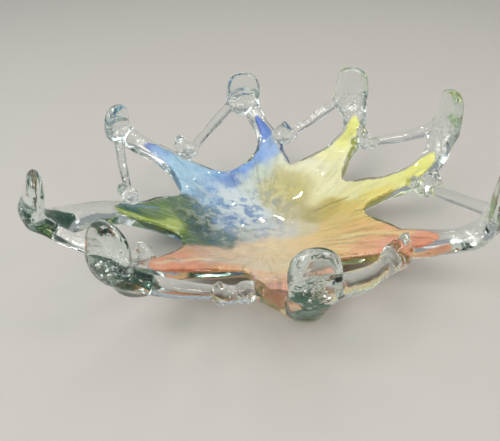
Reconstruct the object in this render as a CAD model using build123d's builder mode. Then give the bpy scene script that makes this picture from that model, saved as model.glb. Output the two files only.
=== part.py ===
"""Hand-worked art glass bowl: a shallow round well with eight pulled arms.

Every arm rises outwards, narrows to a neck and curls up into a flattened clear
paddle.  From each paddle a clear glass bridge runs to the neighbouring arm and
ends there in a pressed weld bead, so eight closed windows surround the well.
A thin sheet of coloured glass lies inside the clear casing.

Units are millimetres, +Z is up, the origin is the centre of the resting face.
"""
from build123d import *
import math
import os

# ----------------------------------------------------------- driving dimensions
foot_radius = 44.0          # flat resting disc under the well
foot_height = 5.0
foot_edge = 2.0             # softened lower edge of the foot
well_radius = 97.0          # radius where the arms leave the well
casing_thickness = 13.0     # clear glass wall, arms and well
colour_depth = 3.6          # clear glass above the colour sheet
colour_thickness = 2.4      # coloured sheet inside the casing
colour_inset = 4.5          # clear margin left beside the colour in an arm
colour_rim = 93.0           # colour stops here between the arms
centre_radius = 45.0        # pale disc of colour in the middle of the well
tall = 200.0                # taller than everything, for trimming only

# upper surface of the dish: (radius, height)
dish_top = [(0, 15.0), (30, 16.0), (55, 21.0), (75, 29.0), (97, 39.5),
            (120, 48.5), (150, 60.0), (187, 73.0), (215, 82.0)]
# under surface of the well: (radius, height)
well_under = [(97, 26.5), (75, 16.6), (58, 9.4), (44, 5.0)]

# Each arm: stations over the dish (x, y, half width), then the neck
# (x, y, z, half width, half thickness), then the paddle
# (x, y, z, half width, half thickness, half height, lean outwards in degrees).
arms = {
    "left": dict(
        st=[(-78, -2, 44), (-98, -6, 29), (-114, -13, 20), (-137, -23, 13),
            (-153, -34, 11.5), (-165, -48, 12)],
        neck=[(-175, -63, 66, 12.5, 10), (-185, -77, 74, 13.5, 9)],
        pad=(-190, -84, 99, 19, 6.5, 24, -5),
        tongue=3.3),
    "back_left": dict(
        st=[(-60, 55, 40), (-76, 68, 25), (-90, 79, 17.5), (-106, 89, 12),
            (-119, 95, 10), (-134, 101, 9.5)],
        neck=[(-146, 105, 67, 10, 8.5), (-155, 108, 73, 12, 8.5)],
        pad=(-161, 110, 85, 17, 7, 19, 8),
        tongue=4.9),
    "back": dict(
        st=[(2, 84, 40), (3, 104, 25), (4, 119, 17), (4, 132, 13.5),
            (1, 147, 10), (-6, 163, 8)],
        neck=[(-13, 177, 69, 8.5, 7.5), (-20, 186, 75, 12, 8.5)],
        pad=(-26, 191, 90, 20, 7, 23, 8),
        tongue=5.6),
    "back_right": dict(
        st=[(50, 72, 34), (65, 92, 25), (76, 104, 18), (88, 118, 14),
            (97, 132, 12), (101, 147, 11)],
        neck=[(103, 160, 69, 11, 9), (102, 168, 77, 14, 8.5)],
        pad=(99, 173, 99, 20, 7, 26, 8),
        tongue=5.7),
    "right_back": dict(
        st=[(78, 33, 34), (98, 36, 22), (116, 36, 16.5), (135, 37, 14.5),
            (150, 43, 13), (163, 54, 12.5)],
        neck=[(173, 65, 70, 12, 9), (179, 74, 79, 14, 9)],
        pad=(184, 80, 104, 19, 7, 27, 8),
        tongue=5.7),
    "right": dict(
        st=[(68, -34, 46), (86, -52, 35), (103, -66, 24), (119, -76, 18.5),
            (135, -84, 15.5), (151, -88, 13)],
        neck=[(164, -90, 68, 12, 10), (173, -91, 77, 14, 9)],
        pad=(178, -92, 102, 19, 7, 26, 5),
        tongue=4.6),
    "front": dict(
        st=[(15, -84, 42), (14, -104, 34), (13, -122, 31), (13, -140, 28),
            (16, -156, 22), (19, -168, 16)],
        neck=[(21, -178, 66, 14, 10.5), (22, -187, 77, 14, 9.5)],
        pad=(24, -191, 103, 18.5, 8.5, 20, 4),
        tongue=4.2),
    "front_left": dict(
        st=[(-48, -68, 40), (-62, -86, 27), (-75, -99, 19.5),
            (-86, -112, 14.5), (-94, -125, 12.5), (-99, -137, 12.5)],
        neck=[(-104, -149, 67, 15, 10.5), (-109, -158, 77, 18, 9.5)],
        pad=(-115, -163, 102, 21.5, 7.5, 23, 4),
        tongue=4.6),
}

# Each bridge: paddle it leaves, arm it lands on, attachment on the paddle
# (share of half width, share of half height below the centre), radius at the
# paddle and at the weld, outward bow, sag.
bridges = {
    "left": dict(to="front_left", a=(0.45, 0.75), r=(7.0, 5.5), bow=4, sag=3),
    "back_left": dict(to="left", a=(0.10, 0.80), r=(6.2, 3.0), bow=2, sag=2),
    "back": dict(to="back_left", a=(0.72, 0.66), r=(6.2, 4.8), bow=3, sag=2),
    "back_right": dict(to="back", a=(0.70, 0.62), r=(6.0, 4.6), bow=3, sag=2),
    "right_back": dict(to="back_right", a=(0.60, 0.62), r=(8.0, 4.0), bow=4,
                       sag=4),
    "right": dict(to="right_back", a=(0.45, 0.62), r=(7.0, 5.0), bow=3, sag=1),
    "front": dict(to="right", a=(0.70, 0.62), r=(9.5, 8.0), bow=4, sag=3),
    "front_left": dict(to="front", a=(0.60, 0.80), r=(8.5, 5.5), bow=3, sag=2),
}

# Weld bead on each arm: centre, half length along the bridge, radius across it,
# and the little upstanding knob beside it (x, y, z, radius).
welds = {
    "left": dict(c=(-131, -1, 55), s=(9, 8), knob=(-137, 2, 63, 5)),
    "back_left": dict(c=(-83, 98, 55), s=(12, 8), knob=(-93, 106, 61, 7.5)),
    "back": dict(c=(22, 136, 55), s=(11, 8.5), knob=(20, 139, 64, 7)),
    "back_right": dict(c=(107, 108, 61), s=(11, 8.5), knob=(105, 116, 71, 6)),
    "right_back": dict(c=(146, 14, 58), s=(13, 9.5), knob=(157, 12, 67, 7.5)),
    "right": dict(c=(99, -104, 57), s=(14, 12.5), knob=(104, -104, 69, 8)),
    "front": dict(c=(-22, -153, 59), s=(13, 9), knob=(-39, -160, 66, 7)),
    "front_left": dict(c=(-103, -107, 56), s=(11, 8), knob=(-104, -102, 64, 6)),
}

# Outline of a bead and of a knob: (share of the half length, share of radius)
bead_shape = [(-1.0, 0.36), (-0.8, 0.72), (-0.4, 0.97), (0.1, 1.0),
              (0.55, 0.84), (0.85, 0.58), (1.0, 0.3)]
knob_shape = [(-1.3, 0.95), (-0.5, 1.0), (0.2, 0.95), (0.7, 0.68), (1.0, 0.3)]

# Arms whose wide roots would meet are trimmed to their own sector: start and
# end angle in degrees, counter-clockwise from +X.
sectors = {
    "left": (157.0, 212.0),
    "back_left": (118.0, 157.0),
    "back": (77.0, 118.0),
    "back_right": (40.0, 77.0),
    "right_back": (7.0, 40.0),
}

# Colour fields: start angle, end angle (degrees, counter-clockwise), the arms
# whose tongues belong to the field.
fields = {
    "green": (157.0, 212.0, ["left"]),
    "blue": (77.0, 157.0, ["back", "back_left"]),
    "yellow": (7.0, 77.0, ["back_right", "right_back"]),
    "orange": (-57.0, 7.0, ["right"]),
    "pink": (-148.0, -57.0, ["front", "front_left"]),
}


# --------------------------------------------------------------------- helpers
def top_height(radius):
    """Height of the upper dish surface at a radius."""
    for (r0, z0), (r1, z1) in zip(dish_top, dish_top[1:]):
        if radius <= r1:
            return z0 + (z1 - z0) * (radius - r0) / (r1 - r0)
    return dish_top[-1][1]


def arm_sections(name):
    """Centre, half width, half thickness of every section of one arm."""
    half = casing_thickness / 2
    out = []
    for x, y, w in arms[name]["st"]:
        z = top_height(math.hypot(x, y)) - half
        out.append((Vector(x, y, z), w, half))
    for x, y, z, w, t in arms[name]["neck"]:
        out.append((Vector(x, y, z), w, min(t, 0.93 * w)))
    return out


def paddle_frame(name):
    """Centre, counter-clockwise tangent and long axis of a paddle."""
    x, y, z, w, t, h, lean = arms[name]["pad"]
    rad = Vector(x, y, 0).normalized()
    tan = Vector(-rad.Y, rad.X, 0)
    a = math.radians(lean)
    axis = Vector(0, 0, 1) * math.cos(a) + rad * math.sin(a)
    return Vector(x, y, z), tan, axis, w, t, h


def section_planes(name):
    """A plane across the arm at every section."""
    secs = arm_sections(name)
    pts = [s[0] for s in secs]
    planes = []
    for i, p in enumerate(pts):
        a = pts[max(i - 1, 0)]
        b = pts[min(i + 1, len(pts) - 1)]
        t = (b - a).normalized()
        if i == len(pts) - 1:
            axis = paddle_frame(name)[2]
            t = (t * 0.45 + axis * 0.55).normalized()
        side = t.cross(Vector(0, 0, 1)).normalized()
        planes.append(Plane(origin=p, x_dir=side, z_dir=t))
    return planes


def bridge_path(name):
    """Points and radii from the paddle to the weld."""
    spec = bridges[name]
    centre, tan, axis, w, t, h = paddle_frame(name)
    start = centre + tan * (w * spec["a"][0]) - axis * (h * spec["a"][1])
    end = Vector(*welds[spec["to"]]["c"])
    out = []
    steps = 5
    for i in range(steps + 1):
        u = i / steps
        p = start + (end - start) * u
        rad = Vector(p.X, p.Y, 0).normalized()
        lift = math.sin(math.pi * u)
        p = p + rad * (spec["bow"] * lift) - Vector(0, 0, spec["sag"] * lift)
        out.append((p, spec["r"][0] + (spec["r"][1] - spec["r"][0]) * u))
    return out


def polar(radius, degrees):
    a = math.radians(degrees)
    return (radius * math.cos(a), radius * math.sin(a))


def wedge_points(radius, start, end, steps=24):
    pts = [(0, 0)]
    for i in range(steps + 1):
        pts.append(polar(radius, start + (end - start) * i / steps))
    return pts


def tongue_points(name):
    """Plan outline of the coloured tongue inside one arm, pointed at the end."""
    secs = [(Vector(s[0].X, s[0].Y, 0), s[1]) for s in arm_sections(name)]
    reach = arms[name]["tongue"]
    left, right = [], []
    n = 30
    for i in range(n + 1):
        u = reach * i / n
        k = min(int(u), len(secs) - 2)
        f = u - k
        p = secs[k][0] + (secs[k + 1][0] - secs[k][0]) * f
        w = secs[k][1] + (secs[k + 1][1] - secs[k][1]) * f - colour_inset
        d = (secs[k + 1][0] - secs[k][0]).normalized()
        side = Vector(d.Y, -d.X, 0)
        end = min(1.0, (reach - u) / 0.9)
        w = max(w, 2.0) * math.sqrt(max(end, 0.0)) if i < n else 0.0
        if i == n:
            left.append((p.X, p.Y))
        else:
            left.append((p.X + side.X * w, p.Y + side.Y * w))
            right.append((p.X - side.X * w, p.Y - side.Y * w))
    return left + right[::-1]


# ------------------------------------------------------------------- the pieces
pieces = {}

with BuildPart() as foot:
    Cylinder(foot_radius, foot_height,
             align=(Align.CENTER, Align.CENTER, Align.MIN))
    fillet(foot.edges().sort_by(Axis.Z)[0], foot_edge)
pieces["foot_pad"] = foot

# coloured sheet as one thin dish, trimmed into fields further down
with BuildPart() as sheet:
    with BuildSketch(Plane.XZ):
        with BuildLine():
            hi = [(r, z - colour_depth) for r, z in dish_top]
            lo = [(r, z - colour_depth - colour_thickness) for r, z in dish_top]
            Spline(*hi, tangents=((1, 0), (215 - 187, 9)))
            Line(hi[-1], lo[-1])
            Spline(*lo[::-1], tangents=((187 - 215, -9), (-1, 0)))
            Line(lo[0], hi[0])
        make_face()
    revolve(axis=Axis.Z)

with BuildPart() as colour_centre:
    add(sheet.part)
    Cylinder(centre_radius, tall, mode=Mode.INTERSECT)
pieces["colour_centre"] = colour_centre

colours = {}
for name, (start, end, owners) in fields.items():
    with BuildPart() as field:
        with BuildSketch():
            Polygon(*wedge_points(colour_rim, start, end), align=None)
            for owner in owners:
                Polygon(*tongue_points(owner), align=None)
            Polygon(*wedge_points(260, start, end), align=None,
                    mode=Mode.INTERSECT)
            Circle(centre_radius, mode=Mode.SUBTRACT)
        extrude(amount=tall)
        add(sheet.part, mode=Mode.INTERSECT)
    colours[name] = field
    pieces["colour_" + name] = field

# clear well
with BuildPart() as well:
    with BuildSketch(Plane.XZ):
        with BuildLine():
            hi = [p for p in dish_top if p[0] <= well_radius]
            Spline(*hi, tangents=((1, 0), (20, 9)))
            Line(hi[-1], well_under[0])
            Spline(*well_under)
            Line(well_under[-1], (0, foot_height))
            Line((0, foot_height), hi[0])
        make_face()
    revolve(axis=Axis.Z)
    add(colour_centre.part, mode=Mode.SUBTRACT)
    for field in colours.values():
        add(field.part, mode=Mode.SUBTRACT)
pieces["well_casing"] = well

# flattened clear paddle at the end of every arm
paddles = {}
for name in arms:
    centre, tan, axis, w, t, h = paddle_frame(name)
    flat = Plane(origin=centre, x_dir=tan, z_dir=tan.cross(axis))
    with BuildPart() as paddle:
        with BuildSketch(flat):
            SlotOverall(2 * h, 2 * w, rotation=90)
        extrude(amount=t, both=True)
        fillet(paddle.edges(), 0.82 * t)
    paddles[name] = paddle.part

# arms
arm_parts = {}
for name in arms:
    owner = [c for c, f in fields.items() if name in f[2]][0]
    with BuildPart() as arm:
        for plane, (p, w, t) in zip(section_planes(name), arm_sections(name)):
            with BuildSketch(plane):
                SlotOverall(2 * w, 2 * t)
        loft()
        if name in sectors:
            with BuildSketch():
                Polygon(*wedge_points(300, *sectors[name]), align=None)
            extrude(amount=tall, mode=Mode.INTERSECT)
        Cylinder(well_radius, tall * 2, mode=Mode.SUBTRACT)
        add(colours[owner].part, mode=Mode.SUBTRACT)
        add(paddles[name], mode=Mode.SUBTRACT)
    arm_parts[name] = arm
    pieces["arm_" + name] = arm

# paddles are their own gathers of glass
for name in arms:
    with BuildPart() as paddle:
        add(paddles[name])
    pieces["paddle_" + name] = paddle

# weld beads, pressed onto the arms
weld_parts = {}
for name, spec in welds.items():
    source = [b for b, s in bridges.items() if s["to"] == name][0]
    path = bridge_path(source)
    direction = (path[-1][0] - path[-2][0])
    direction = Vector(direction.X, direction.Y, 0).normalized()
    long, across = spec["s"]
    centre = Vector(*spec["c"])
    upright = direction.cross(Vector(0, 0, 1))
    kx, ky, kz, kr = spec["knob"]
    with BuildPart() as lump:
        for along, size in bead_shape:
            with BuildSketch(Plane(origin=centre + direction * (along * long),
                                   x_dir=upright, z_dir=direction)):
                Circle(size * across)
        loft()
    with BuildPart() as knob:
        for along, size in knob_shape:
            with BuildSketch(Plane(origin=(kx, ky, kz + along * kr))):
                Circle(size * kr)
        loft()
    with BuildPart() as weld:
        add(lump.part)
        add(knob.part)
        add(arm_parts[name].part, mode=Mode.SUBTRACT)
    with BuildPart() as bead:
        add(weld.part.solids().sort_by(SortBy.VOLUME)[-1])
    weld_parts[name] = bead
    pieces["weld_" + name] = bead

# bridges
for name, spec in bridges.items():
    path = bridge_path(name)
    with BuildPart() as bridge:
        for i, (p, r) in enumerate(path):
            a = path[max(i - 1, 0)][0]
            b = path[min(i + 1, len(path) - 1)][0]
            t = (b - a).normalized()
            side = t.cross(Vector(0, 0, 1)).normalized()
            with BuildSketch(Plane(origin=p, x_dir=side, z_dir=t)):
                Circle(r)
        loft()
        add(paddles[name], mode=Mode.SUBTRACT)
        add(weld_parts[spec["to"]].part, mode=Mode.SUBTRACT)
        add(arm_parts[name].part, mode=Mode.SUBTRACT)
        add(arm_parts[spec["to"]].part, mode=Mode.SUBTRACT)
    pieces["bridge_" + name] = bridge

# ----------------------------------------------------------------------- export
os.makedirs("parts", exist_ok=True)
for label, piece in pieces.items():
    piece.part.label = label
    export_step(piece.part, "parts/" + label + ".step")
    print(label, len(piece.part.solids()), round(piece.part.volume, 1))
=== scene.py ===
import math

import bpy
import numpy as np
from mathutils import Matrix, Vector


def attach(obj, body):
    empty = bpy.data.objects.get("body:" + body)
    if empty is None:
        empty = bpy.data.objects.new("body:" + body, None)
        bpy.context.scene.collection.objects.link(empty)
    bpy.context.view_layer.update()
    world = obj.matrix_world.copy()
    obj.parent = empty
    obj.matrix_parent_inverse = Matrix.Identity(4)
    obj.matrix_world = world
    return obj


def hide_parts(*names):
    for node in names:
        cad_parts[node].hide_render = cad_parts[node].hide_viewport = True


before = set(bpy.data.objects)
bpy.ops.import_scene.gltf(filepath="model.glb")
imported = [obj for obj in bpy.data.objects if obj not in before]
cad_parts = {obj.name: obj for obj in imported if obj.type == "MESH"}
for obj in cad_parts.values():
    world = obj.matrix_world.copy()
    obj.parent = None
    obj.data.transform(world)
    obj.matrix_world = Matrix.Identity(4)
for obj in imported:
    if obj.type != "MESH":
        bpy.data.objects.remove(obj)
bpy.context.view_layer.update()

MM = 0.001

# ------------------------------------------------------------------ dimensions
# All lengths below are millimetres in the part's own frame.
DISH_R = np.array([0, 30, 55, 75, 97, 120, 150, 187, 215, 260.0])
DISH_Z = np.array([15, 16, 21, 29, 39.5, 48.5, 60, 73, 82, 96.0])
UNDER_R = np.array([0, 30, 44, 58, 75, 97, 120, 150, 187, 215, 260.0])
UNDER_Z = np.array([0.0, 0.0, 3.6, 9.0, 16.4, 26.3, 35.2, 46.6, 59.6, 68.6, 82.0])
FOOT_R, FOOT_H = 44.0, 5.0
WELL_R = 97.0
COLOUR_DEPTH, COLOUR_INSET, COLOUR_RIM, CENTRE_R = 3.6, 4.5, 93.0, 45.0
GLOW = 1.24

ARMS = {
    "left": dict(
        st=[(-78, -2, 44), (-98, -6, 29), (-114, -13, 20), (-137, -23, 13),
            (-153, -34, 11.5), (-165, -48, 12)],
        neck=[(-175, -63, 66, 12.5, 10), (-185, -77, 74, 13.5, 9)],
        pad=(-190, -84, 99, 17.5, 8.0, 24, -5), tongue=3.7),
    "back_left": dict(
        st=[(-60, 55, 40), (-76, 68, 25), (-90, 79, 17.5), (-106, 89, 12),
            (-119, 95, 10), (-134, 101, 9.5)],
        neck=[(-146, 105, 67, 10, 8.5), (-155, 108, 73, 12, 8.5)],
        pad=(-161, 110, 85, 17, 7, 19, 8), tongue=5.4),
    "back": dict(
        st=[(2, 84, 40), (3, 104, 25), (4, 119, 17), (4, 132, 13.5),
            (1, 147, 10), (-6, 163, 8)],
        neck=[(-13, 177, 69, 8.5, 7.5), (-20, 186, 75, 12, 8.5)],
        pad=(-26, 191, 90, 20, 7, 23, 8), tongue=6.1),
    "back_right": dict(
        st=[(50, 72, 34), (65, 92, 25), (76, 104, 18), (88, 118, 14),
            (97, 132, 12), (101, 147, 11)],
        neck=[(103, 160, 69, 11, 9), (102, 168, 77, 14, 8.5)],
        pad=(99, 173, 99, 20, 7, 26, 8), tongue=6.1),
    "right_back": dict(
        st=[(78, 33, 34), (98, 36, 22), (116, 36, 16.5), (135, 37, 14.5),
            (150, 43, 13), (163, 54, 12.5)],
        neck=[(173, 65, 70, 12, 9), (179, 74, 79, 14, 9)],
        pad=(184, 80, 104, 19, 7, 27, 8), tongue=6.0),
    "right": dict(
        st=[(68, -34, 46), (86, -52, 35), (103, -66, 24), (119, -76, 18.5),
            (135, -84, 15.5), (151, -88, 13)],
        neck=[(164, -90, 68, 12, 10), (173, -91, 77, 14, 9)],
        pad=(178, -92, 102, 19, 7, 26, 5), tongue=4.6),
    "front": dict(
        st=[(15, -84, 42), (14, -104, 34), (13, -122, 31), (13, -140, 28),
            (16, -156, 22), (19, -168, 16)],
        neck=[(21, -178, 66, 14, 10.5), (22, -187, 77, 14, 9.5)],
        pad=(24, -191, 103, 18.5, 8.5, 20, 4), tongue=4.2),
    "front_left": dict(
        st=[(-48, -68, 40), (-62, -86, 27), (-75, -99, 19.5),
            (-86, -112, 14.5), (-94, -125, 12.5), (-99, -137, 12.5)],
        neck=[(-104, -149, 67, 15, 10.5), (-109, -158, 77, 18, 9.5)],
        pad=(-115, -163, 102, 21.5, 7.5, 23, 4), tongue=4.6),
}
ROUND = ["left", "front_left", "front", "right", "right_back", "back_right",
         "back", "back_left"]
BRIDGES = {
    "left": dict(to="front_left", a=(0.45, 0.75), r=(7.0, 5.5), bow=4, sag=3),
    "back_left": dict(to="left", a=(0.10, 0.80), r=(6.2, 3.0), bow=2, sag=2),
    "back": dict(to="back_left", a=(0.72, 0.66), r=(6.2, 4.8), bow=3, sag=2),
    "back_right": dict(to="back", a=(0.70, 0.62), r=(6.0, 4.6), bow=3, sag=2),
    "right_back": dict(to="back_right", a=(0.60, 0.62), r=(8.0, 4.0), bow=4,
                       sag=4),
    "right": dict(to="right_back", a=(0.45, 0.62), r=(7.0, 5.0), bow=3, sag=1),
    "front": dict(to="right", a=(0.70, 0.62), r=(9.5, 8.0), bow=4, sag=3),
    "front_left": dict(to="front", a=(0.60, 0.80), r=(8.5, 5.5), bow=3, sag=2),
}
WELDS = {
    "left": dict(c=(-131, -1, 55), s=(9, 8), knob=(-137, 2, 63, 5)),
    "back_left": dict(c=(-83, 98, 55), s=(12, 8), knob=(-93, 106, 61, 7.5)),
    "back": dict(c=(22, 136, 55), s=(11, 8.5), knob=(20, 139, 64, 7)),
    "back_right": dict(c=(107, 108, 61), s=(11, 8.5), knob=(105, 116, 71, 6)),
    "right_back": dict(c=(146, 14, 58), s=(13, 9.5), knob=(157, 12, 67, 7.5)),
    "right": dict(c=(99, -104, 57), s=(14, 12.5), knob=(104, -104, 69, 8)),
    "front": dict(c=(-22, -153, 59), s=(13, 9), knob=(-39, -160, 66, 7)),
    "front_left": dict(c=(-103, -107, 56), s=(11, 8), knob=(-104, -102, 64, 6)),
}
# plan angle of the bottom of each notch and its radius, going round with ROUND
NOTCH = {
    ("left", "front_left"): (210, 91), ("front_left", "front"): (257, 97),
    ("front", "right"): (303, 97), ("right", "right_back"): (7, 91),
    ("right_back", "back_right"): (39, 98), ("back_right", "back"): (76, 104),
    ("back", "back_left"): (117, 98), ("back_left", "left"): (156, 96),
}


def dish(r):
    return np.interp(r, DISH_R, DISH_Z)


def unit(v):
    return v / max(np.linalg.norm(v), 1e-9)


def smooth_curve(pts, n, closed=False):
    """Catmull-Rom through the rows of pts, n samples to a span."""
    pts = np.asarray(pts, float)
    m = len(pts)
    out = []
    spans = m if closed else m - 1
    for i in range(spans):
        if closed:
            p0, p1, p2, p3 = (pts[(i + k) % m] for k in (-1, 0, 1, 2))
        else:
            p1, p2 = pts[i], pts[i + 1]
            p0 = pts[i - 1] if i > 0 else 2 * p1 - p2
            p3 = pts[i + 2] if i + 2 < m else 2 * p2 - p1
        for k in range(n):
            t = k / n
            out.append(0.5 * (2 * p1 + (p2 - p0) * t
                              + (2 * p0 - 5 * p1 + 4 * p2 - p3) * t * t
                              + (3 * p1 - p0 - 3 * p2 + p3) * t ** 3))
    if not closed:
        out.append(pts[-1])
    return np.array(out)


# ------------------------------------------------------------------ value noise
def lattice(seed, n=64):
    return np.random.default_rng(seed).random((n, n, n)).astype(np.float32)


LAT = lattice(11)


def noise3(x, y, z):
    """Smooth value noise, -1 to 1, on arrays of lattice coordinates."""
    n = LAT.shape[0]
    xi, yi, zi = np.floor(x), np.floor(y), np.floor(z)
    fx, fy, fz = x - xi, y - yi, z - zi
    fx, fy, fz = (f * f * (3 - 2 * f) for f in (fx, fy, fz))
    xi, yi, zi = (v.astype(np.int64) % n for v in (xi, yi, zi))
    xj, yj, zj = (xi + 1) % n, (yi + 1) % n, (zi + 1) % n
    a = LAT[xi, yi, zi] * (1 - fx) + LAT[xj, yi, zi] * fx
    b = LAT[xi, yj, zi] * (1 - fx) + LAT[xj, yj, zi] * fx
    c = LAT[xi, yi, zj] * (1 - fx) + LAT[xj, yi, zj] * fx
    d = LAT[xi, yj, zj] * (1 - fx) + LAT[xj, yj, zj] * fx
    a = a * (1 - fy) + b * fy
    c = c * (1 - fy) + d * fy
    return (a * (1 - fz) + c * fz) * 2 - 1


# ------------------------------------------------------------------ plan outline
def arm_sides(name):
    st = np.array(ARMS[name]["st"], float)
    nk = np.array([(n[0], n[1], n[3]) for n in ARMS[name]["neck"]], float)
    rows = np.vstack([st[1:], nk[:1]])
    d = np.gradient(rows[:, :2], axis=0)
    d /= np.linalg.norm(d, axis=1)[:, None]
    side = np.stack([-d[:, 1], d[:, 0]], 1)          # counter-clockwise side
    ccw = rows[:, :2] + side * rows[:, 2:3]
    cw = rows[:, :2] - side * rows[:, 2:3]
    tip = rows[-1, :2] + d[-1] * rows[-1, 2] * 0.9
    return ccw, cw, tip


def soften(curve, times_, drop=0.0):
    """Rounds the bottoms of the notches of a closed outline."""
    hubs = np.array([[r * math.cos(math.radians(a)), r * math.sin(math.radians(a))]
                     for a, r in NOTCH.values()])
    c = curve.copy()
    d = np.linalg.norm(c[:, None] - hubs[None], axis=2).min(1)
    w = (np.clip(1.3 - d / 24, 0, 1) * 0.5)[:, None]
    for _ in range(times_):
        c = c + w * ((np.roll(c, 1, 0) + np.roll(c, -1, 0)) / 2 - c)
    return c


def outline():
    """Closed star outline in plan, going round clockwise."""
    pts = []
    order = ["left", "back_left", "back", "back_right", "right_back", "right",
             "front", "front_left"]
    for i, name in enumerate(order):
        ccw, cw, tip = arm_sides(name)
        pts += list(ccw) + [tip] + list(cw[::-1])
        nxt = order[(i + 1) % len(order)]
        key = (name, nxt) if (name, nxt) in NOTCH else (nxt, name)
        ang, rad = NOTCH[key]
        a = math.radians(ang)
        rad -= 3.5
        pts.append(np.array([rad * math.cos(a), rad * math.sin(a)]))
    return soften(smooth_curve(np.array(pts), 6, closed=True), 14)


OUT = outline()


def plan_sdf(x, y, poly):
    """Signed distance to a closed polygon, negative inside."""
    shape = x.shape
    px, py = x.ravel(), y.ravel()
    best = np.full(px.shape, 1e12)
    inside = np.zeros(px.shape, bool)
    a = poly
    b = np.roll(poly, -1, axis=0)
    for (ax, ay), (bx, by) in zip(a, b):
        ex, ey = bx - ax, by - ay
        wx, wy = px - ax, py - ay
        t = np.clip((wx * ex + wy * ey) / max(ex * ex + ey * ey, 1e-9), 0, 1)
        dx, dy = wx - t * ex, wy - t * ey
        best = np.minimum(best, dx * dx + dy * dy)
        cross = (ay > py) != (by > py)
        with np.errstate(divide="ignore", invalid="ignore"):
            hit = px < (bx - ax) * (py - ay) / (by - ay) + ax
        inside ^= cross & hit
    d = np.sqrt(best)
    return np.where(inside, -d, d).reshape(shape)


# ------------------------------------------------------------------ solid fields
STEP = 1.76
LO = np.array([-214.0, -214.0, -4.0])
HI = np.array([210.0, 214.0, 136.0])
NX, NY, NZ = (int(math.ceil(v)) + 1 for v in (HI - LO) / STEP)
GX = LO[0] + STEP * np.arange(NX)
GY = LO[1] + STEP * np.arange(NY)
GZ = LO[2] + STEP * np.arange(NZ)


def smin(a, b, k):
    h = np.clip(0.5 + 0.5 * (b - a) / k, 0, 1)
    return b * (1 - h) + a * h - k * h * (1 - h)


def rounded(d1, d2, r):
    """Intersection of two distances with a rounded edge."""
    a, b = d1 + r, d2 + r
    return (np.minimum(np.maximum(a, b), 0)
            + np.sqrt(np.maximum(a, 0) ** 2 + np.maximum(b, 0) ** 2) - r)


XX, YY = np.meshgrid(GX, GY, indexing="ij")
PLAN = plan_sdf(XX, YY, OUT)
RHO = np.hypot(XX, YY)


def plate_field():
    """The dish and its arms as one plate with full round edges."""
    top, low = dish(RHO), np.interp(RHO, UNDER_R, UNDER_Z)
    top = top + 0.55 * noise3(XX / 31 + 5, YY / 31 + 9, XX * 0 + 2.5)
    low = low + 0.7 * noise3(XX / 27 + 15, YY / 27 + 3, XX * 0 + 7.5) * (RHO > 46)
    slope = np.gradient(DISH_Z, DISH_R)
    s = np.interp(RHO, DISH_R, slope)
    cosine = 1 / np.sqrt(1 + s * s)
    mid, half = (top + low) / 2, (top - low) / 2 * cosine
    f = np.empty((NX, NY, NZ), np.float32)
    edge = np.minimum(half, 6.4)
    for k, z in enumerate(GZ):
        v = np.abs(z - mid) * cosine - half
        f[:, :, k] = rounded(PLAN, v, edge)
    return f


FIELD = plate_field()


def window(points, pad):
    p = np.asarray(points)
    lo = np.floor((p.min(0) - pad - LO) / STEP).astype(int)
    hi = np.ceil((p.max(0) + pad - LO) / STEP).astype(int) + 1
    lo = np.maximum(lo, 0)
    hi = np.minimum(hi, [NX, NY, NZ])
    g = np.meshgrid(GX[lo[0]:hi[0]], GY[lo[1]:hi[1]], GZ[lo[2]:hi[2]],
                    indexing="ij")
    return tuple(slice(a, b) for a, b in zip(lo, hi)), g


def sweep(rows, blend, side_hint=None, cap=0.8):
    """Union of a flattened tube: rows of x, y, z, half width, half thickness.
    side_hint gives the width direction at each row."""
    rows = np.asarray(rows, float)
    side_hint = np.asarray(side_hint, float)
    big = rows[:, 3:5].max()
    sl, (gx, gy, gz) = window(rows[:, :3], big + blend + 3)
    best = np.full(gx.shape, 1e3, np.float32)
    for i in range(len(rows) - 1):
        a, b = rows[i], rows[i + 1]
        ab = b[:3] - a[:3]
        ln = np.linalg.norm(ab)
        if ln < 1e-6:
            continue
        tan = ab / ln
        wx, wy, wz = gx - a[0], gy - a[1], gz - a[2]
        s = wx * tan[0] + wy * tan[1] + wz * tan[2]
        t = np.clip(s / ln, 0, 1)
        side = unit(side_hint[i] + side_hint[i + 1])
        side = unit(side - tan * (side @ tan))
        nrm = np.cross(tan, side)
        ru = a[3] + (b[3] - a[3]) * t
        rv = a[4] + (b[4] - a[4]) * t
        over = s - t * ln
        u = wx * side[0] + wy * side[1] + wz * side[2]
        v = wx * nrm[0] + wy * nrm[1] + wz * nrm[2]
        rw = cap * ru
        k1 = np.sqrt((u / ru) ** 2 + (v / rv) ** 2 + (over / rw) ** 2)
        k2 = np.sqrt((u / ru ** 2) ** 2 + (v / rv ** 2) ** 2
                     + (over / rw ** 2) ** 2)
        d = k1 * (k1 - 1) / np.maximum(k2, 1e-4)
        best = np.minimum(best, d)
    FIELD[sl] = smin(FIELD[sl], best, blend)


def paddle_frame(name):
    x, y, z, w, t, h, lean = ARMS[name]["pad"]
    rad = unit(np.array([x, y, 0.0]))
    tan = np.array([-rad[1], rad[0], 0.0])
    a = math.radians(lean)
    axis = np.array([0, 0, 1.0]) * math.cos(a) + rad * math.sin(a)
    return np.array([x, y, z], float), tan, axis, rad, w, t, h


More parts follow.
